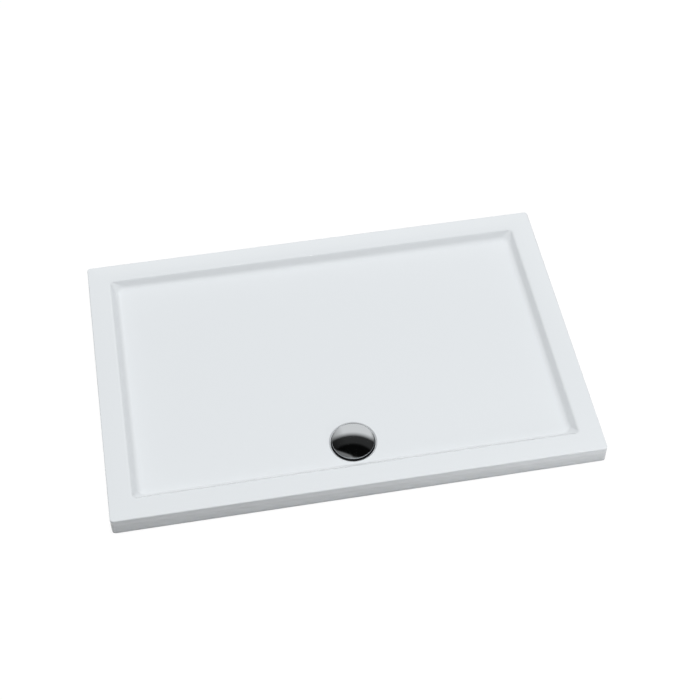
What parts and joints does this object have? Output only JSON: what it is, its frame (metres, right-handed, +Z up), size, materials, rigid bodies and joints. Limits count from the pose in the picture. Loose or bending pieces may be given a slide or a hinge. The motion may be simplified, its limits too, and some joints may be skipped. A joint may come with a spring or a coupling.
{
  "type": "shower tray",
  "caption": "Low rectangular acrylic shower tray with a shallow basin, a flat rim, a skirt on all sides and a round waste with a domed chrome cover near the front edge.",
  "frame": {"origin": "centre of the tray's plan, at the level of the floor that it stands on", "axes": "+X along the long side, -Y towards the side with the waste, +Z up"},
  "size_m": [1.2, 0.8, 0.05],
  "materials": {
    "acrylic": "high-gloss white cast acrylic sheet",
    "glass_fibre_laminate": "chopped glass-fibre laminate, rough as rolled",
    "particle_board": "sawn particle board",
    "timber": "planed softwood",
    "pad_rubber": "moulded black rubber",
    "zinc_plated_steel": "bright zinc plate",
    "moulded_polypropylene": "moulded black polypropylene",
    "grey_polypropylene": "moulded grey polypropylene",
    "polyethylene": "smooth natural polyethylene",
    "rubber": "moulded black rubber",
    "chrome": "polished chrome plate"
  },
  "bodies": {
    "tray": {"back_nut": "moulded_polypropylene", "base_board": "particle_board", "board_laminate": "glass_fibre_laminate", "flange_gasket": "rubber", "laminate_backing": "glass_fibre_laminate", "lower_gasket": "rubber", "pad_screws": "zinc_plated_steel", "rim_batten_front": "timber", "rim_batten_left": "timber", "rim_batten_rear": "timber", "rim_batten_right": "timber", "slip_washer": "polyethylene", "support_pad_front_left": "pad_rubber", "support_pad_front_left_end": "pad_rubber", "support_pad_front_right": "pad_rubber", "support_pad_front_right_end": "pad_rubber", "support_pad_rear_left": "pad_rubber", "support_pad_rear_left_end": "pad_rubber", "support_pad_rear_right": "pad_rubber", "support_pad_rear_right_end": "pad_rubber", "tray_shell": "acrylic", "waste_flange": "moulded_polypropylene"},
    "strainer": {"strainer_basket": "grey_polypropylene", "strainer_seal": "rubber"},
    "cover": {"cover_carrier": "grey_polypropylene", "cover_dome": "chrome"}
  },
  "joints": [
    {"name": "strainer_lift", "type": "slide", "parent": "tray", "child": "strainer", "axis": [0, 0, 1], "range_m": [0, 0.06]},
    {"name": "cover_lift", "type": "slide", "parent": "strainer", "child": "cover", "axis": [0, 0, 1], "range_m": [0, 0.06]}
  ]
}
